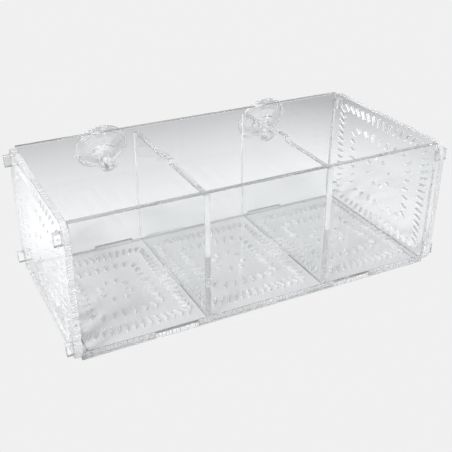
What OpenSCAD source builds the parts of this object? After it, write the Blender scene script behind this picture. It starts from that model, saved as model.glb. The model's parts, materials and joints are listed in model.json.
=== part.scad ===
// Fish breeding box: a clear open-topped box of sheet panels that plug together,
// with two lift-out dividers and two suction cups behind the back panel.
// X runs along the width, Y from front to back, Z up.
// The origin is the middle of the underside.

/* [Box] */
// Width over the two side panels
box_w = 200; // [170:1:260]
// Depth over the front and back panels
box_d = 94; // [84:1:130]
// Height of all four walls
box_h = 70; // [64:1:100]
// Thickness of the acrylic sheet
sheet = 3; // [2:0.5:4]

/* [Side panels] */
// How far a side panel stands proud of the front and back panels
side_lip = 2.5; // [2:0.1:5]
// Radius of a side panel's corners
side_corner_r = 8; // [3:0.5:8]

/* [Corner tabs] */
// Height of each tab on the ends of the front and back panels
tab_h = 6; // [4:0.5:7]
// Height of a tab's middle above the underside, and below the top edge
tab_inset = 7; // [7:0.5:12]
// How far a tab stands out of the side panel
tab_proud = 3.5; // [0.5:0.1:5]
// Clearance around a tab in its slot
tab_gap = 0.1; // [0.05:0.05:0.3]

/* [Floor tabs] */
// Length of each tab on the floor's long edges
floor_tab_l = 22; // [10:1:30]
// Distance from the middle of the box to a floor tab's middle
floor_tab_x = 50; // [35:1:60]

/* [Dividers] */
// Distance from the middle of the box to a divider's middle
divider_x = 33; // [30:0.5:38]
// How far a divider's top edge lies below the walls' top
divider_drop = 2; // [1:0.1:6]
// Clearance between a divider and the front or back panel
divider_gap = 0.3; // [0.1:0.05:0.6]
// Length of the pull tab on a divider's top edge
pull_l = 10; // [6:0.5:20]
// Radius of the pull tab's upper corners
pull_r = 1; // [0.2:0.1:1]
// Length of the foot that plugs into the floor
foot_l = 22; // [10:1:30]
// Clearance around the foot in its slot
foot_gap = 0.2; // [0.1:0.05:0.4]
// Clearance between the foot's end and the underside of the floor
foot_lift = 0.3; // [0.1:0.05:0.6]

/* [Water slots] */
// Width of every slot
slot_w = 0.9; // [0.6:0.1:1.2]
// Length of a slot in an outer ring
outer_slot_l = 5.5; // [3:0.1:6]
// Length of a slot in a middle ring
middle_slot_l = 4.5; // [3:0.1:5]
// Length of a slot in an inner ring
inner_slot_l = 3; // [2:0.1:3.5]

/* [Side slot rings] */
// From the front or back panel's inner face to the outer ring
side_margin_y = 7; // [6:0.1:10]
// From the top or bottom edge to the outer ring
side_margin_z = 5.7; // [5:0.1:8]
// From the outer ring to the middle ring, along the depth
side_step_y = 12.5; // [11:0.1:14]
// From the outer ring to the middle ring, along the height
side_step_z = 10.5; // [9.5:0.1:11]
// Half depth of the inner ring
side_inner_y = 9; // [8:0.1:10]
// Half height of the inner ring
side_inner_z = 7.5; // [7:0.1:8]
// Spacing of the outer ring's slots up its front and back sides
side_outer_pitch_z = 3.9; // [3.5:0.1:5]
// Spacing of the outer ring's slots along its top and bottom sides
side_outer_pitch_y = 5; // [4.5:0.1:6]
// Spacing of the middle ring's slots up its front and back sides
side_middle_pitch_z = 5.2; // [4.5:0.1:6]
// Spacing of the middle ring's slots along its top and bottom sides
side_middle_pitch_y = 6.7; // [6:0.1:8]

/* [Floor slot rings] */
// From a compartment's side wall to the outer ring
floor_margin_x = 4.4; // [4.2:0.1:6]
// From the front or back panel's inner face to the outer ring
floor_margin_y = 10.5; // [8:0.1:12]
// From the outer ring to the middle ring, along the width
floor_step_x = 9.5; // [9:0.1:10]
// From the outer ring to the middle ring, along the depth
floor_step_y = 12; // [11:0.1:13]
// Half width of the inner ring
floor_inner_x = 7; // [6.5:0.1:7.5]
// Half depth of the inner ring
floor_inner_y = 8; // [7.5:0.1:9]
// Spacing of the outer ring's slots
floor_outer_pitch = 3.8; // [3.5:0.1:5]
// Spacing of the middle ring's slots
floor_middle_pitch = 5.2; // [4.5:0.1:6]

/* [Inner rings] */
// Spacing of the slots in every inner ring
inner_pitch = 6.4; // [6:0.1:7]

/* [Suction cups] */
// Distance from the middle of the box to a cup's hole
cup_x = 50; // [40:1:60]
// Height of a cup's hole above the underside
cup_z = 54; // [40:1:56]
// Radius of the hole in the back panel
cup_hole_r = 4; // [3.8:0.05:5]
// Radius of the cup's rim
cup_r = 15; // [12:0.5:16]
// Radius of the neck that passes through the hole
neck_r = 2.75; // [2:0.05:2.8]
// Radius of the head that keeps the neck in the hole
head_r = 5.2; // [5.1:0.1:7]
// Height of the head's dome
head_dome = 3.4; // [2:0.1:5]
// Radius of the thick boss behind the panel
boss_r = 6.5; // [5:0.1:8]
// Height of the boss's step above the bell
boss_step = 0.8; // [0.3:0.1:1.5]
// Thickness of the bell between boss and rim
bell_t = 1.7; // [1.2:0.1:2.2]
// How much deeper the rim lies than the bell needs to lean freely
rim_depth = 1.3; // [1:0.1:2]
// Height of the rim's outer edge
rim_t = 0.9; // [0.6:0.1:1.5]
// Width of the flat ring that seals on the glass
seal_w = 1.3; // [0.8:0.1:2]
// Angle at which a cup leans when its bell meets the panel
cup_lean = 24; // [10:0.5:24]
// Clearance between a leaning cup and the panel
lean_gap = 0.25; // [0.1:0.05:0.4]

/* [Hidden] */
// Facets of a full turn on small and on large round shapes
small_fn = 24;
large_fn = 96;
// Points along the head's dome and the bell's curve
dome_steps = 8;
bell_steps = 10;
// How strongly the bell curves towards its rim
bell_power = 1.25;
// Inner faces of the walls
inner_x = box_w / 2 - sheet;
inner_y = box_d / 2 - sheet;
// Length of a front or back panel over its tabs
tab_reach = box_w / 2 + tab_proud;
// A side panel's half depth
side_half_d = box_d / 2 + side_lip;
// Height of a divider's plain top edge
divider_top = box_h - divider_drop;
// Middle of an outer compartment and the half widths of the compartments
outer_mid = (divider_x + sheet / 2 + inner_x) / 2;
outer_half = (inner_x - divider_x - sheet / 2) / 2;
centre_half = divider_x - sheet / 2;
// Middle plane of the back panel, where a cup turns
cup_y = box_d / 2 - sheet / 2;

// Distance from the turning point along the neck at which a point of radius r
// just clears the panel when the cup leans all the way
function lean_line(r) = (sheet / 2 + lean_gap + r * sin(cup_lean)) / cos(cup_lean);
// Outer surface of the bell, from the boss to the rim
function bell_share(r) = (r - boss_r) / (cup_r - boss_r);
function bell_base() = lean_line(boss_r) + boss_step;
function bell(r) = bell_base()
    + (lean_line(cup_r) + rim_depth - bell_base()) * pow(bell_share(r), bell_power);

// One slot lying along X with round ends
module water_slot(length) {
    square([length - slot_w, slot_w], center = true);
    for (end = [-1, 1])
        translate([end * (length - slot_w) / 2, 0]) circle(d = slot_w, $fn = small_fn);
}

// One slot at a point, aimed at the pattern's middle
module aimed_slot(x, y, length) {
    translate([x, y]) rotate(atan2(y, x)) water_slot(length);
}

// Evenly spaced places on both sides of zero that stay within a half length
function spread(half, pitch) =
    let (gaps = floor(2 * half / pitch + 0.01))
    [for (i = [0 : gaps]) (i - gaps / 2) * pitch];

// Slots on the four sides of a rectangle, the corners left to one pair of sides
module slot_ring(half_x, half_y, pitch_x, pitch_y, length) {
    for (side = [-1, 1]) {
        for (y = spread(half_y - pitch_y / 2, pitch_y)) aimed_slot(side * half_x, y, length);
        for (x = spread(half_x - pitch_x / 2, pitch_x)) aimed_slot(x, side * half_y, length);
    }
}

// The inner ring has two slots on each side
module inner_ring(half_x, half_y) {
    for (side = [-1, 1], end = [-0.5, 0.5]) {
        aimed_slot(side * half_x, end * inner_pitch, inner_slot_l);
        aimed_slot(end * inner_pitch, side * half_y, inner_slot_l);
    }
}

// The three rings of one floor compartment
module floor_slots(half_w) {
    half_x = half_w - floor_margin_x;
    half_y = inner_y - floor_margin_y;
    slot_ring(half_x, half_y, floor_outer_pitch, floor_outer_pitch, outer_slot_l);
    slot_ring(half_x - floor_step_x, half_y - floor_step_y,
        floor_middle_pitch, floor_middle_pitch, middle_slot_l);
    inner_ring(floor_inner_x, floor_inner_y);
}

// The three rings of a side panel, drawn with Y as first and Z as second axis
module side_slots() {
    half_y = inner_y - side_margin_y;
    half_z = box_h / 2 - side_margin_z;
    slot_ring(half_y, half_z, side_outer_pitch_y, side_outer_pitch_z, outer_slot_l);
    slot_ring(half_y - side_step_y, half_z - side_step_z,
        side_middle_pitch_y, side_middle_pitch_z, middle_slot_l);
    inner_ring(side_inner_y, side_inner_z);
}

// Floor between the walls, with tabs under the front and back panels
module floor_panel() {
    color([0.90, 0.92, 0.93, 0.5]) linear_extrude(sheet) difference() {
        union() {
            square([2 * inner_x, 2 * inner_y], center = true);
            for (side = [-1, 1])
                translate([side * floor_tab_x, 0]) square([floor_tab_l, box_d], center = true);
        }
        for (side = [-1, 1]) {
            translate([side * divider_x, 0])
                square([sheet + 2 * foot_gap, foot_l + 2 * foot_gap], center = true);
            translate([side * outer_mid, 0]) floor_slots(outer_half);
        }
        floor_slots(centre_half);
    }
}

// Outline of a long wall: tabs at both ends, notches for the floor's tabs
module long_wall_outline() {
    difference() {
        union() {
            translate([-inner_x, 0]) square([2 * inner_x, box_h]);
            for (z = [tab_inset, box_h - tab_inset])
                translate([-tab_reach, z - tab_h / 2]) square([2 * tab_reach, tab_h]);
        }
        for (side = [-1, 1])
            translate([side * floor_tab_x - floor_tab_l / 2 - tab_gap, -sheet])
                square([floor_tab_l + 2 * tab_gap, 2 * sheet]);
    }
}

// Stands a drawn wall up, with its outer face at a given depth
module upright(y_back) {
    translate([0, y_back, 0]) rotate([90, 0, 0]) linear_extrude(sheet) children();
}

module front_panel() {
    color([0.90, 0.92, 0.94, 0.5]) upright(-inner_y) long_wall_outline();
}

module back_panel() {
    color([0.86, 0.88, 0.90, 0.5]) upright(box_d / 2) difference() {
        long_wall_outline();
        for (side = [-1, 1])
            translate([side * cup_x, cup_z]) circle(r = cup_hole_r, $fn = large_fn);
    }
}

// Side panel with round corners, slots for the walls' tabs and water slots
module side_outline() {
    flat_half = side_half_d - side_corner_r;
    difference() {
        union() {
            translate([-flat_half, 0]) square([2 * flat_half, box_h]);
            translate([-side_half_d, side_corner_r])
                square([2 * side_half_d, box_h - 2 * side_corner_r]);
            for (side = [-1, 1], z = [side_corner_r, box_h - side_corner_r])
                translate([side * flat_half, z]) circle(r = side_corner_r, $fn = large_fn);
        }
        for (side = [-1, 1], z = [tab_inset, box_h - tab_inset])
            translate([side * (box_d / 2 - sheet / 2), z])
                square([sheet + 2 * tab_gap, tab_h + 2 * tab_gap], center = true);
        translate([0, box_h / 2]) side_slots();
    }
}

module side_panel(x_low) {
    color([0.92, 0.93, 0.94, 0.5]) translate([x_low, 0, 0])
        rotate([90, 0, 90]) linear_extrude(sheet) side_outline();
}

module left_side_panel() {
    side_panel(-box_w / 2);
}

module right_side_panel() {
    side_panel(inner_x);
}

// Pull tab with round upper corners, level with the walls' top
module pull_outline() {
    flat_half = pull_l / 2 - pull_r;
    translate([-pull_l / 2, divider_top - sheet])
        square([pull_l, box_h - divider_top + sheet - pull_r]);
    translate([-flat_half, divider_top - sheet])
        square([2 * flat_half, box_h - divider_top + sheet]);
    for (side = [-1, 1])
        translate([side * flat_half, box_h - pull_r]) circle(r = pull_r, $fn = small_fn);
}

// Divider that stands on the floor, with its foot in the floor's slot
module divider(x_mid) {
    half_d = inner_y - divider_gap;
    color([0.93, 0.95, 0.95, 0.5]) translate([x_mid - sheet / 2, 0, 0])
        rotate([90, 0, 90]) linear_extrude(sheet) union() {
            translate([-half_d, sheet]) square([2 * half_d, divider_top - sheet]);
            translate([-foot_l / 2, foot_lift]) square([foot_l, 2 * sheet]);
            pull_outline();
        }
}

module left_divider() {
    divider(-divider_x);
}

module right_divider() {
    divider(divider_x);
}

// Soft cup: head inside the box, neck in the hole, bell and rim behind the panel.
// It is drawn upright and leans back until its bell meets the panel's upper part.
module suction_cup(x_mid) {
    dome = [for (i = [dome_steps : -1 : 0]) let (a = 90 * i / dome_steps)
        [head_r * cos(a), -lean_line(head_r) - head_dome * sin(a)]];
    outer_bell = [for (i = [0 : bell_steps]) let (r = boss_r + (cup_r - boss_r) * i / bell_steps)
        [r, bell(r)]];
    seal_s = bell(cup_r) + rim_t;
    inner_r = cup_r - seal_w;
    inner_bell = [for (i = [bell_steps : -1 : 0]) let (r = boss_r + (inner_r - boss_r) * i / bell_steps)
        [r, min(seal_s, bell(r) + bell_t)]];
    profile = concat(dome,
        [[neck_r, -lean_line(neck_r)], [neck_r, lean_line(neck_r)], [boss_r, lean_line(boss_r)]],
        outer_bell,
        [[cup_r, seal_s], [inner_r, seal_s]],
        inner_bell,
        [[0, bell_base() + bell_t]]);
    color([0.95, 0.96, 0.98, 0.6]) translate([x_mid, cup_y, cup_z])
        rotate([cup_lean - 90, 0, 0]) rotate_extrude($fn = large_fn) polygon(profile);
}

module left_suction_cup() {
    suction_cup(-cup_x);
}

module right_suction_cup() {
    suction_cup(cup_x);
}

floor_panel();
front_panel();
back_panel();
left_side_panel();
right_side_panel();
left_divider();
right_divider();
left_suction_cup();
right_suction_cup();
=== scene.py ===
"""Looks of the clear fish breeding box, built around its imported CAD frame."""
import json
import math

import bmesh
import bpy
from mathutils import Matrix, Vector


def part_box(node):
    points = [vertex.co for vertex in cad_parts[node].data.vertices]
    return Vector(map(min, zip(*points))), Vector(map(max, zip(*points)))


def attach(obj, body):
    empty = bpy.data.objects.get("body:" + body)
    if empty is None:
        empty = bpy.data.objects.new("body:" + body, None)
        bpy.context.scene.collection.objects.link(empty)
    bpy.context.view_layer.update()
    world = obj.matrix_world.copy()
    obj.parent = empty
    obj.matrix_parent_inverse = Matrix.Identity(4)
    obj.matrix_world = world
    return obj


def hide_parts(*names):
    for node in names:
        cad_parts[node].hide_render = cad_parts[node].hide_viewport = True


MM = 0.001

# Camera, found from the photo's straight edges
CAMERA_PLACE = (-161.2 * MM, -314.1 * MM, 212.8 * MM)
CAMERA_YAW = 27.07
CAMERA_PITCH = 28.26
CAMERA_ROLL = 0.24
CAMERA_CLIP = (0.01, 20)
FOCAL_PIXELS = 745.5
FRAME_PIXELS = 452
SENSOR_MM = 36

# Rounding of a sheet's outer edge and of its slots, and the air left around each sheet
EDGE_ROUND = 0.3 * MM
SLOT_ROUND = 0.06 * MM
EDGE_STEPS = 3
HAIR_GAP = 0.02 * MM

# How a CAD panel's outlines are read: points merged, points taken as level with the face,
# points dropped from a nearly straight run, and the turn up to which an outline is smooth
MERGE_DISTANCE = 0.001 * MM
LEVEL_TOLERANCE = 0.01 * MM
LOOP_TOLERANCE = 0.01 * MM
SMOOTH_ANGLE = math.radians(35)
# Least agreement with the sheet's own direction for a face to be one of its two flat ones
FLAT_FACE = 0.9999

# The plain backdrop, and the tint of the set that the box shows in and through itself
BACKDROP = 0.871
SET_TINT = (0.993, 1.0, 1.01)

# Floor: half its width in metres, its depth under the box, and how much light it gives back
FLOOR_HALF = 3.0
FLOOR_DROP = 0.05 * MM
FLOOR_ALBEDO = 0.35

# Brightness of the ground by distance from the floor panel's outline, negative inside it. Painted shade:
# it is darker under the box and far from it. One thin dark line lies under that outline, and another about 4 mm
# further in, both painted contact shadows.
GROUND_TONES = (
    (-12 * MM, 0.38),
    (-4.15 * MM, 0.38),
    (-4.0 * MM, 0.0),
    (-3.6 * MM, 0.0),
    (-3.4 * MM, 0.32),
    (-0.6 * MM, 0.32),
    (-0.45 * MM, 0.0),
    (0.5 * MM, 0.02),
    (2 * MM, 0.44),
    (45 * MM, 0.45),
    (190 * MM, 0.06),
)
# Painted light: the ground is brighter beside the box: how many times, and over which reach of X it rises
LEFT_GLOW = 1.78
LEFT_GLOW_REACH = (-125 * MM, -104 * MM)
RIGHT_GLOW = 1.15
RIGHT_GLOW_REACH = (0, 120 * MM)

# Brightness of the room: bright in front, dimmer behind, and darkest towards the dark side.
# The fades are the spans of direction, 0 across and 1 straight towards, that it dims over.
ROOM_FRONT = 1.0
ROOM_BACK = 0.3
ROOM_BACK_FADE = (0.1, 0.75)
ROOM_DARK = 0.06
ROOM_DARK_FADE = (0.6, 0.93)
DARK_SIDE = (0.45, 0.35, 0.82)

# Lamp that casts the soft shadows of the cut edges. Places and size are in metres.
KEY_PLACE = (-0.8, -0.5, 1.15)
KEY_AIM = (0, 0, 0.03)
KEY_SIZE = (0.25, 0.25)
KEY_WATTS = 24

# How often light may pass or bend at a surface: the box and its slots have many clear ones
BEND_LIMIT = 96

# Clear plastics. The tints are the two colours of the clouding, and the roughness is the
# range of the uneven gloss. The grains are numbers of grains per metre, of the gloss and of
# the clouding. The wave is the height of the clouding's waves in the surface. Clear is the
# part of the light that no frosting scatters, and through the part that reaches the floor.
ACRYLIC_IOR = 1.49
VINYL_IOR = 1.53
PLASTIC_TINTS = ((0.965, 0.972, 0.974), (0.985, 0.988, 0.99))
SHEET_FACE = {
    "ior": ACRYLIC_IOR,
    "tints": PLASTIC_TINTS,
    "gloss_grain": 700,
    "cloud_grain": 14,
    "roughness": (0.0, 0.02),
    "wave": 0.006 * MM,
    "clear": 1,
    "through": 0.97,
}
CUT_EDGE = {
    "ior": ACRYLIC_IOR,
    "gloss_grain": 2500,
    "cloud_grain": 500,
    "wave": 0.0005 * MM,
    "through": 0.35,
}
ARRIS = {
    "ior": ACRYLIC_IOR,
    "gloss_grain": 3000,
    "cloud_grain": 900,
    "roughness": (0.0, 0.1),
    "wave": 0.0005 * MM,
    "clear": 1,
    "through": 0.6,
}
VINYL = {
    "ior": VINYL_IOR,
    "tints": PLASTIC_TINTS,
    "gloss_grain": 900,
    "cloud_grain": 60,
    "roughness": (0.02, 0.08),
    "wave": 0.01 * MM,
    "through": 0.8,
}
CUP_HEAD_CLEAR = 0.9
CUP_BELL_CLEAR = 0.95
CUT_EDGE_TINTS = ((0.98, 0.985, 0.99), (1, 1, 1.005))
ARRIS_TINT_SPREAD = 0.05
# How far the cutter's lines are drawn out through the thickness of a sheet
CUT_LINE_STRETCH = 12.0

# Detail of the noises, and the span of the gloss noise that the roughness runs over
GLOSS_DETAIL = 4
CLOUD_DETAIL = 2
STREAK_DETAIL = 1
GLOSS_SPAN = (0.3, 0.7)

# Frosted streaks that fan out from the middle of a cup: how many, how clear they stay, and
# the span of their noise from no streak to a full one
STREAKS = 1.6
STREAK_CLEAR = 0.55
STREAK_SPAN = (0.4, 0.66)

# How pale the rounded arrises of each sheet are, a painted shade that darkens the lines along its edges, and then
# how clear, rough and pale
# its cut faces are: the outer edge, and the slots' walls. What isn't clear is the cutter's frosting.
SHEETS = {
    "floor_panel": (0.8, (0.55, 0.4, 0.85), (0.6, 0.1, 0.97)),
    "front_panel": (0.76, (0.97, 0.04, 0.97), (0.9, 0.04, 0.97)),
    "back_panel": (0.85, (0.97, 0.04, 0.97), (0.6, 0.2, 0.97)),
    "left_side_panel": (0.9, (0.6, 0.4, 0.76), (0.5, 0.2, 0.87)),
    "right_side_panel": (0.9, (0.55, 0.5, 0.8), (0.5, 0.2, 0.95)),
    "left_divider": (0.94, (0.93, 0.1, 0.97), (0.9, 0.04, 0.97)),
    "right_divider": (0.94, (0.93, 0.1, 0.97), (0.9, 0.04, 0.97)),
}
# Places in a sheet's list of materials, after its flat faces, which come first
OUTER_EDGE, OUTER_ARRIS, SLOT_WALL = 1, 2, 3

# Section of a suction cup in mm: radius, place along its axis from where it turns, rounding
CUP_SECTION = (
    # Dimple and dome of the head inside the box
    (0, -5.7, 0),
    (1.1, -5.7, 0.3),
    (1.7, -5.85, 0.3),
    (3.4, -5.55, 1.5),
    (4.6, -4.9, 0.6),
    (4.9, -4.25, 0.3),
    # Neck
    (2.7, -3.2, 0.4),
    (2.7, 3.2, 0.4),
    # Boss against the panel
    (6.45, 4.87, 0.4),
    (6.45, 5.95, 0.3),
    # Outer skin of the bell and the bead of its rim
    (9.5, 7.12, 3.0),
    (12.3, 8.75, 0.3),
    (12.9, 8.68, 0.2),
    (14.95, 9.93, 0.35),
    (14.95, 10.79, 0.3),
    # Flat seal and the hollow
    (13.75, 10.79, 0.3),
    (12.6, 9.75, 0.5),
    (9.5, 7.95, 3.0),
    (6.2, 7.2, 1.0),
    (1.6, 7.0, 0.4),
    (1.2, 6.75, 0.2),
    (0, 6.75, 0),
)
CUP_STEPS = 96
CORNER_STEPS = 4


def set_camera():
    data = bpy.data.cameras.new("camera")
    data.sensor_width = SENSOR_MM
    data.lens = FOCAL_PIXELS / FRAME_PIXELS * SENSOR_MM
    data.clip_start, data.clip_end = CAMERA_CLIP
    camera = bpy.data.objects.new("camera", data)
    bpy.context.scene.collection.objects.link(camera)
    turn = (
        Matrix.Rotation(math.radians(-CAMERA_YAW), 4, "Z")
        @ Matrix.Rotation(math.radians(90 - CAMERA_PITCH), 4, "X")
        @ Matrix.Rotation(math.radians(CAMERA_ROLL), 4, "Z")
    )
    camera.matrix_world = Matrix.Translation(CAMERA_PLACE) @ turn
    bpy.context.scene.camera = camera


def new_material(name):
    material = bpy.data.materials.new(name)
    material.use_nodes = True
    nodes = material.node_tree.nodes
    nodes.clear()
    return material, nodes, material.node_tree.links


def add_node(nodes, kind, **values):
    node = nodes.new(kind)
    for name, value in values.items():
        setattr(node, name, value)
    return node


def map_range(nodes, links, source, span, result):
    """The source socket's value, moved from one span to another and held at its ends."""
    node = add_node(nodes, "ShaderNodeMapRange")
    node.inputs["From Min"].default_value, node.inputs["From Max"].default_value = span
    node.inputs["To Min"].default_value, node.inputs["To Max"].default_value = result
    links.new(source, node.inputs["Value"])
    return node.outputs["Result"]


def maths(nodes, links, operation, first, second):
    """A Math node between two sockets or plain numbers."""
    node = add_node(nodes, "ShaderNodeMath", operation=operation)
    for socket, value in zip(node.inputs, (first, second)):
        if isinstance(value, (int, float)):
            socket.default_value = value
        else:
            links.new(value, socket)
    return node.outputs[0]


def noise(nodes, links, place, scale, detail, stretch=(1, 1, 1)):
    """Noise with a number of grains per metre, drawn out along an axis by its stretch."""
    spread = add_node(nodes, "ShaderNodeVectorMath", operation="DIVIDE")
    links.new(place, spread.inputs[0])
    spread.inputs[1].default_value = stretch
    node = add_node(nodes, "ShaderNodeTexNoise")
    node.inputs["Scale"].default_value = scale
    node.inputs["Detail"].default_value = detail
    links.new(spread.outputs[0], node.inputs["Vector"])
    return node.outputs["Fac"]


def colour_between(nodes, links, factor, first, second):
    ramp = add_node(nodes, "ShaderNodeValToRGB")
    ramp.color_ramp.elements[0].color = (*first, 1)
    ramp.color_ramp.elements[1].color = (*second, 1)
    links.new(factor, ramp.inputs["Fac"])
    return ramp.outputs["Color"]


def fan_streaks(nodes, links, place, pivot, across, upward):
    """Noise that changes only with the direction around a pivot, as streaks out from it."""
    offset = add_node(nodes, "ShaderNodeVectorMath", operation="SUBTRACT")
    links.new(place, offset.inputs[0])
    offset.inputs[1].default_value = pivot
    flat = add_node(nodes, "ShaderNodeCombineXYZ")
    for socket, direction in zip(flat.inputs, (across, upward)):
        along = add_node(nodes, "ShaderNodeVectorMath", operation="DOT_PRODUCT")
        links.new(offset.outputs[0], along.inputs[0])
        along.inputs[1].default_value = direction
        links.new(along.outputs["Value"], socket)
    outward = add_node(nodes, "ShaderNodeVectorMath", operation="NORMALIZE")
    links.new(flat.outputs[0], outward.inputs[0])
    return noise(nodes, links, outward.outputs[0], STREAKS, STREAK_DETAIL)


def clear_plastic(
    name,
    ior,
    tints,
    gloss_grain,
    cloud_grain,
    roughness,
    wave,
    clear,
    through,
    stretch=(1, 1, 1),
    fan=None,
):
    """Clear plastic with a faint clouding, uneven gloss and a slight wave in its surface.

    The values are described above SHEET_FACE. stretch draws the grains out along an axis.
    fan is the middle of its frosted streaks and two directions across them, if it has any.
    """
    material, nodes, links = new_material(name)
    place = add_node(nodes, "ShaderNodeTexCoord").outputs["Object"]
    gloss = noise(nodes, links, place, gloss_grain, GLOSS_DETAIL, stretch)
    cloud = noise(nodes, links, place, cloud_grain, CLOUD_DETAIL, stretch)
    bump = add_node(nodes, "ShaderNodeBump")
    bump.inputs["Strength"].default_value = 1
    bump.inputs["Distance"].default_value = wave
    links.new(cloud, bump.inputs["Height"])

    shader = add_node(nodes, "ShaderNodeBsdfPrincipled")
    shader.inputs["IOR"].default_value = ior
    shader.inputs["Transmission Weight"].default_value = clear
    if fan:
        streaks = fan_streaks(nodes, links, place, *fan)
        frosted = map_range(nodes, links, streaks, STREAK_SPAN, (clear, STREAK_CLEAR))
        links.new(frosted, shader.inputs["Transmission Weight"])
    uneven = map_range(nodes, links, gloss, GLOSS_SPAN, roughness)
    links.new(uneven, shader.inputs["Roughness"])
    links.new(colour_between(nodes, links, cloud, *tints), shader.inputs["Base Color"])
    links.new(bump.outputs["Normal"], shader.inputs["Normal"])

    path = add_node(nodes, "ShaderNodeLightPath")
    pass_on = add_node(nodes, "ShaderNodeBsdfTransparent")
    pass_on.inputs["Color"].default_value = (through, through, through, 1)
    mix = add_node(nodes, "ShaderNodeMixShader")
    links.new(path.outputs["Is Shadow Ray"], mix.inputs["Fac"])
    links.new(shader.outputs["BSDF"], mix.inputs[1])
    links.new(pass_on.outputs["BSDF"], mix.inputs[2])
    output = add_node(nodes, "ShaderNodeOutputMaterial")
    links.new(mix.outputs["Shader"], output.inputs["Surface"])
    return material


def cut_edge_material(axis, clear, rough, pale):
    """Laser-cut edge of a sheet whose thickness lies along an axis, with fine lines across it."""
    name = f"cut_edge_{'xyz'[axis]}_{clear}_{rough}_{pale}"
    if name in bpy.data.materials:
        return bpy.data.materials[name]
    return clear_plastic(
        name,
        tints=[[pale * value for value in tint] for tint in CUT_EDGE_TINTS],
        roughness=(rough / 2, rough),
        clear=clear,
        stretch=[CUT_LINE_STRETCH if i == axis else 1.0 for i in range(3)],
        **CUT_EDGE,
    )


def arris_material(pale):
    """The rounded arrises of a cut edge, tinted darker by pale as painted shade for the dark lines along the
    edges.
    """
    name = f"arris_{pale}"
    if name in bpy.data.materials:
        return bpy.data.materials[name]
    # Painted shade: a lower pale darkens the arrises into dark lines along the edges
    tints = ((pale - ARRIS_TINT_SPREAD,) * 3, (pale + ARRIS_TINT_SPREAD,) * 3)
    return clear_plastic(name, tints=tints, **ARRIS)


def cap_loops(node, axis, level):
    """Closed outlines of the flat face of a CAD node at one level along an axis."""
    mesh = bmesh.new()
    mesh.from_mesh(node.data)
    bmesh.ops.remove_doubles(mesh, verts=mesh.verts, dist=MERGE_DISTANCE)
    # A list, so that the outlines come in the same order each run
    flat = [
        face
        for face in mesh.faces
        if all(abs(vert.co[axis] - level) < LEVEL_TOLERANCE for vert in face.verts)
    ]
    is_flat = set(flat)
    following = {}
    for face in flat:
        for loop in face.loops:
            others = [f for f in loop.edge.link_faces if f is not face]
            if not any(f in is_flat for f in others):
                following[loop.vert.index] = loop.link_loop_next.vert.index
    mesh.verts.ensure_lookup_table()
    outlines = []
    while following:
        start = next(iter(following))
        ring = [start]
        step = following.pop(start)
        while step != start:
            ring.append(step)
            step = following.pop(step)
        outlines.append([mesh.verts[i].co.copy() for i in ring])
    mesh.free()
    return outlines


def thin_out(points, tolerance):
    """Drops points of a closed outline that lie within a tolerance of the rest."""
    kept = [points[0]]
    passed = []
    for point in [*points[1:], points[0]]:
        away = 0
        along = point - kept[-1]
        if along.length > 0:
            away = max(
                [((p - kept[-1]).cross(along)).length / along.length for p in passed],
                default=0,
            )
        if away > tolerance:
            kept.append(passed[-1])
            passed = []
        passed.append(point)
    return kept


def drawn_in(ring, normal, distance):
    """The same ring moved into the solid by a distance, corners kept mitred."""
    moved = []
    for i, point in enumerate(ring):
        before = (point - ring[i - 1]).normalized()
        after = (ring[(i + 1) % len(ring)] - point).normalized()
        side_a = normal.cross(before)
        side_b = normal.cross(after)
        middle = side_a + side_b
        moved.append(point + middle * (distance * 2 / middle.length_squared))
    return moved


def outward_sides(ring, normal):
    """Outward directions before and after each point, one and the same where it is smooth."""
    sides = []
    for i, point in enumerate(ring):
        before = normal.cross(ring[i - 1] - point).normalized()
        after = normal.cross(point - ring[(i + 1) % len(ring)]).normalized()
        if before.angle(after) < SMOOTH_ANGLE:
            before = after = (before + after).normalized()
        sides.append((before, after))
    return sides


def outline_length(outline):
    return sum((point - outline[i - 1]).length for i, point in enumerate(outline))


def edge_profile(rounding, thickness):
    """Steps over a cut edge from the upper face round to the lower one.

    Each step is its inset from the outline, its height from the upper face, and the outward
    and upward parts of the surface's direction there.
    """
    profile = []
    for facing in (1, -1):
        for step in range(EDGE_STEPS + 1):
            part = step / EDGE_STEPS if facing > 0 else 1 - step / EDGE_STEPS
            turn = math.pi / 2 * part
            inset = rounding * (1 - math.sin(turn))
            depth = rounding * (1 - math.cos(turn))
            height = -depth if facing > 0 else depth - thickness
            profile.append((inset, height, math.sin(turn), facing * math.cos(turn)))
    return profile


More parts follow.
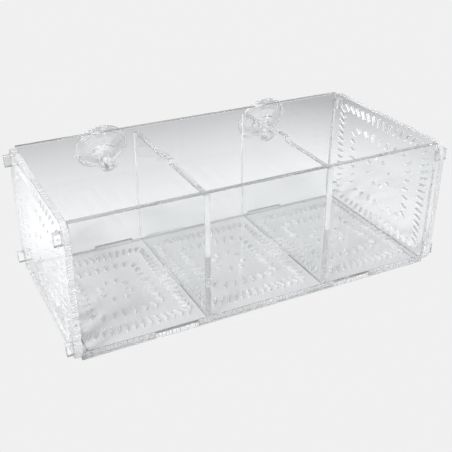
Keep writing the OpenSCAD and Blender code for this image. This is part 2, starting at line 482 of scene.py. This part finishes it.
def polished_sheet(name, node, face_material, arris_shade, edge_finish, slot_finish):
    """A sheet with rounded cut edges in place of a flat CAD panel."""
    low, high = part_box(name)
    thickness = min(high - low)
    axis = list(high - low).index(thickness)
    normal = Vector([float(i == axis) for i in range(3)])
    outlines = [thin_out(o, LOOP_TOLERANCE) for o in cap_loops(node, axis, high[axis])]
    outlines.sort(key=outline_length, reverse=True)
    mesh = bmesh.new()
    bends = []
    caps = ([], [])
    for outline in outlines:
        is_outer = outline is outlines[0]
        free = drawn_in(outline, normal, HAIR_GAP)
        sides = outward_sides(free, normal)
        rings = []
        rounding = EDGE_ROUND if is_outer else SLOT_ROUND
        for inset, height, outward, upward in edge_profile(rounding, thickness):
            ring = drawn_in(free, normal, inset)
            rings.append([mesh.verts.new(p + normal * height) for p in ring])
            bends += [(*pair, outward, upward) for pair in sides]
        count = len(free)
        for level, (upper, lower) in enumerate(zip(rings, rings[1:])):
            for i in range(count):
                j = (i + 1) % count
                face = mesh.faces.new((upper[j], upper[i], lower[i], lower[j]))
                if not is_outer:
                    face.material_index = SLOT_WALL
                else:
                    face.material_index = OUTER_EDGE if level == EDGE_STEPS else OUTER_ARRIS
        for cap, ring in zip(caps, (rings[0], rings[-1])):
            cap += [mesh.edges.get((ring[i], ring[(i + 1) % count])) for i in range(count)]
    for cap, facing in zip(caps, (normal, -normal)):
        bmesh.ops.triangle_fill(mesh, use_beauty=True, edges=cap, normal=facing)
    bmesh.ops.recalc_face_normals(mesh, faces=mesh.faces)
    materials = (
        face_material,
        cut_edge_material(axis, *edge_finish),
        arris_material(arris_shade),
        cut_edge_material(axis, *slot_finish),
    )
    piece = finished_piece(mesh, name + "_sheet", name, materials)
    bend_normals(piece.data, normal, bends)


def bend_normals(data, normal, bends):
    """Exact normals: flat on the sheet's two faces, turning evenly over its rounded edges."""
    normals = []
    for face in data.polygons:
        for index in face.vertices:
            before, after, outward, upward = bends[index]
            if abs(face.normal.dot(normal)) > FLAT_FACE:
                normals.append(normal if face.normal.dot(normal) > 0 else -normal)
            else:
                side = max((before, after), key=face.normal.dot)
                normals.append(side * outward + normal * upward)
    data.normals_split_custom_set(normals)


def turned(direction, angle):
    """A flat direction turned to the left by an angle."""
    cos, sin = math.cos(angle), math.sin(angle)
    return Vector((direction.x * cos - direction.y * sin, direction.x * sin + direction.y * cos))


def rounded_section(corners):
    """Points and outward normals of a closed section whose inner corners are rounded.

    Each corner is (radius, place along the axis, rounding). The first and last lie on the axis.
    """
    places = [Vector((radius, place)) for radius, place, _ in corners]
    section = [(places[0], Vector((0, -1)))]
    for i in range(1, len(places) - 1):
        before = (places[i] - places[i - 1]).normalized()
        after = (places[i + 1] - places[i]).normalized()
        turn = math.atan2(before.cross(after), before.dot(after))
        rounding = corners[i][2]
        start = places[i] - before * (rounding * math.tan(abs(turn) / 2))
        for step in range(CORNER_STEPS + 1):
            angle = turn * step / CORNER_STEPS
            along = turned(before, angle)
            chord = 2 * rounding * math.sin(abs(angle) / 2)
            point = start + turned(before, angle / 2) * chord
            section.append((point, Vector((along.y, -along.x))))
    section.append((places[-1], Vector((0, 1))))
    return section


def moulded_cup(name, joint, mount, head_material):
    """A suction cup turned around its own axis, in place of its CAD node."""
    pivot = Vector(joint["pos_m"])
    axis = Vector(mount["axis"])
    across = Vector((1, 0, 0))
    upward = axis.cross(across)
    fan = (pivot, across, upward)
    bell_material = clear_plastic(name + "_bell", clear=CUP_BELL_CLEAR, fan=fan, **VINYL)
    mesh = bmesh.new()
    normals = []
    rings = []
    for point, slope in rounded_section([[value * MM for value in c] for c in CUP_SECTION]):
        ring = []
        for step in range(CUP_STEPS if point.x > 0 else 1):
            angle = math.tau * step / CUP_STEPS
            outward = across * math.cos(angle) + upward * math.sin(angle)
            ring.append(mesh.verts.new(pivot + outward * point.x + axis * point.y))
            normals.append(outward * slope.x + axis * slope.y)
        rings.append((ring, point.y > 0))
    for (lower, _), (upper, behind_panel) in zip(rings, rings[1:]):
        for i in range(CUP_STEPS):
            j = (i + 1) % CUP_STEPS
            corners = [
                lower[i % len(lower)],
                lower[j % len(lower)],
                upper[j % len(upper)],
                upper[i % len(upper)],
            ]
            # A ring on the axis has one point, so its faces are triangles
            face = mesh.faces.new(list(dict.fromkeys(corners)))
            face.material_index = int(behind_panel)
    bmesh.ops.recalc_face_normals(mesh, faces=mesh.faces)
    materials = (head_material, bell_material)
    piece = finished_piece(mesh, name + "_moulding", name, materials)
    piece.data.normals_split_custom_set_from_vertices(normals)


def body_of(node_name):
    """The moving body that a CAD node belongs to."""
    bodies = frame["record"]["behaviour"]["bodies"]
    return next(body for body, members in bodies.items() if node_name in members)


def finished_piece(mesh, name, node_name, materials):
    """Turns a bmesh into a piece that rides with a CAD node's body and stands for it."""
    data = bpy.data.meshes.new(name)
    mesh.to_mesh(data)
    mesh.free()
    for material in materials:
        data.materials.append(material)
    piece = bpy.data.objects.new(name, data)
    bpy.context.scene.collection.objects.link(piece)
    data.shade_smooth()
    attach(piece, body_of(node_name))
    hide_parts(node_name)
    return piece


def plain_to_camera(nodes, links, kind, tone, output_kind, albedo=0):
    """The plain backdrop straight to the camera, and the set's tone to the box.

    A surface with an albedo takes light and shadow on top of its own tone.
    """
    lit = add_node(nodes, kind)
    tinted = add_node(nodes, "ShaderNodeVectorMath", operation="SCALE")
    tinted.inputs[0].default_value = SET_TINT
    links.new(tone, tinted.inputs["Scale"])
    links.new(tinted.outputs[0], lit.inputs["Color"])
    plain = add_node(nodes, kind)
    plain.inputs["Color"].default_value = (BACKDROP, BACKDROP, BACKDROP, 1)
    path = add_node(nodes, "ShaderNodeLightPath")
    mix = add_node(nodes, "ShaderNodeMixShader")
    links.new(path.outputs["Is Camera Ray"], mix.inputs["Fac"])
    shown = lit.outputs[0]
    if albedo:
        matt = add_node(nodes, "ShaderNodeBsdfDiffuse")
        matt.inputs["Color"].default_value = (*(value * albedo for value in SET_TINT), 1)
        both = add_node(nodes, "ShaderNodeAddShader")
        links.new(shown, both.inputs[0])
        links.new(matt.outputs[0], both.inputs[1])
        shown = both.outputs[0]
    links.new(shown, mix.inputs[1])
    links.new(plain.outputs[0], mix.inputs[2])
    output = add_node(nodes, output_kind)
    links.new(mix.outputs[0], output.inputs["Surface"])


def make_room():
    """Soft room: bright in front of the box, dark behind it and above its right side."""
    world = bpy.data.worlds.new("room")
    bpy.context.scene.world = world
    world.use_nodes = True
    nodes = world.node_tree.nodes
    links = world.node_tree.links
    nodes.clear()
    direction = add_node(nodes, "ShaderNodeTexCoord").outputs["Generated"]
    split = add_node(nodes, "ShaderNodeSeparateXYZ")
    links.new(direction, split.inputs[0])
    backwards = split.outputs["Y"]
    around = map_range(nodes, links, backwards, ROOM_BACK_FADE, (ROOM_FRONT, ROOM_BACK))
    towards = add_node(nodes, "ShaderNodeVectorMath", operation="DOT_PRODUCT")
    links.new(direction, towards.inputs[0])
    towards.inputs[1].default_value = Vector(DARK_SIDE).normalized()
    to_dark = towards.outputs["Value"]
    dark = map_range(nodes, links, to_dark, ROOM_DARK_FADE, (ROOM_FRONT, ROOM_DARK))
    tone = maths(nodes, links, "MINIMUM", around, dark)
    plain_to_camera(nodes, links, "ShaderNodeBackground", tone, "ShaderNodeOutputWorld")


def distance_from_box(nodes, links, split):
    """Distance on the ground from the floor panel's outline, negative inside it."""
    low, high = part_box("floor_panel")
    half_size = (high - low) / 2
    away = []
    for axis, reach in (("X", half_size.x), ("Y", half_size.y)):
        size = maths(nodes, links, "ABSOLUTE", split.outputs[axis], 0)
        away.append(maths(nodes, links, "SUBTRACT", size, reach))
    inside = maths(nodes, links, "MINIMUM", maths(nodes, links, "MAXIMUM", *away), 0)
    # Outside, the straight distance to the nearest side or corner
    outer = [maths(nodes, links, "MAXIMUM", value, 0) for value in away]
    squares = [maths(nodes, links, "POWER", value, 2) for value in outer]
    outside = maths(nodes, links, "POWER", maths(nodes, links, "ADD", *squares), 0.5)
    return maths(nodes, links, "ADD", inside, outside)


def make_floor():
    """Pale floor, plain to the camera. To the box it is graded by GROUND_TONES, with painted shadows and painted
    light.
    """
    data = bpy.data.meshes.new("floor")
    corners = [
        (-FLOOR_HALF, -FLOOR_HALF, -FLOOR_DROP),
        (FLOOR_HALF, -FLOOR_HALF, -FLOOR_DROP),
        (FLOOR_HALF, FLOOR_HALF, -FLOOR_DROP),
        (-FLOOR_HALF, FLOOR_HALF, -FLOOR_DROP),
    ]
    data.from_pydata(corners, [], [(0, 1, 2, 3)])
    floor = bpy.data.objects.new("floor", data)
    bpy.context.scene.collection.objects.link(floor)
    material, nodes, links = new_material("floor")
    data.materials.append(material)
    split = add_node(nodes, "ShaderNodeSeparateXYZ")
    links.new(add_node(nodes, "ShaderNodeTexCoord").outputs["Object"], split.inputs[0])
    distance = distance_from_box(nodes, links, split)
    tone = None
    # Painted shade from GROUND_TONES: darker under the box, in two thin contact lines, and far away
    for (near, near_tone), (far, far_tone) in zip(GROUND_TONES, GROUND_TONES[1:]):
        first = near_tone if tone is None else 0
        last = far_tone - near_tone + first
        step = map_range(nodes, links, distance, (near, far), (first, last))
        tone = step if tone is None else maths(nodes, links, "ADD", tone, step)
    # Painted light: the ground is brighter beside the box
    glows = ((LEFT_GLOW_REACH, (LEFT_GLOW, 1)), (RIGHT_GLOW_REACH, (1, RIGHT_GLOW)))
    for reach, brightness in glows:
        glow = map_range(nodes, links, split.outputs["X"], reach, brightness)
        tone = maths(nodes, links, "MULTIPLY", tone, glow)
    plain_to_camera(
        nodes, links, "ShaderNodeEmission", tone, "ShaderNodeOutputMaterial", FLOOR_ALBEDO
    )


def add_key_lamp():
    """Soft lamp for shadows only: it isn't seen, mirrored or seen through the box."""
    data = bpy.data.lights.new("key", "AREA")
    data.shape = "RECTANGLE"
    data.size, data.size_y = KEY_SIZE
    data.energy = KEY_WATTS
    lamp = bpy.data.objects.new("key", data)
    bpy.context.scene.collection.objects.link(lamp)
    lamp.location = KEY_PLACE
    aim = Vector(KEY_AIM) - lamp.location
    lamp.rotation_euler = aim.to_track_quat("-Z", "Y").to_euler()
    lamp.visible_camera = False
    lamp.visible_glossy = False
    lamp.visible_transmission = False


def set_look():
    scene = bpy.context.scene
    scene.view_settings.view_transform = "Standard"
    scene.view_settings.look = "None"
    scene.cycles.max_bounces = BEND_LIMIT
    scene.cycles.transmission_bounces = BEND_LIMIT
    scene.cycles.glossy_bounces = BEND_LIMIT
    scene.cycles.transparent_max_bounces = BEND_LIMIT


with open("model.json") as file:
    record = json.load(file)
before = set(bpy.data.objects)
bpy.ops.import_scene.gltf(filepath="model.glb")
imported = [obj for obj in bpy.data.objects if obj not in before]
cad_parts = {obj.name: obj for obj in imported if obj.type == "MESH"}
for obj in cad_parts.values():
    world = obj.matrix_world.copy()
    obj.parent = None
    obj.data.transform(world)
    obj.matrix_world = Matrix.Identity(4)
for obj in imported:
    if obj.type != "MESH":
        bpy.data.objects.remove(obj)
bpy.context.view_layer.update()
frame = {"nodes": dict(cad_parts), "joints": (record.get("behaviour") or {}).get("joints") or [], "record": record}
set_camera()
set_look()
make_room()
make_floor()
add_key_lamp()

sheet_face = clear_plastic("acrylic", **SHEET_FACE)
for sheet_name, finishes in SHEETS.items():
    polished_sheet(sheet_name, frame["nodes"][sheet_name], sheet_face, *finishes)

cup_head = clear_plastic("vinyl", clear=CUP_HEAD_CLEAR, **VINYL)
joints = {joint["name"]: joint for joint in frame["joints"]}
mounts = {mount["name"]: mount for mount in frame["record"]["mounts"]}
for side in ("left", "right"):
    cup_joint = joints[f"{side}_cup_rock"]
    cup_seal = mounts[f"{side}_cup_seal"]
    moulded_cup(f"{side}_suction_cup", cup_joint, cup_seal, cup_head)
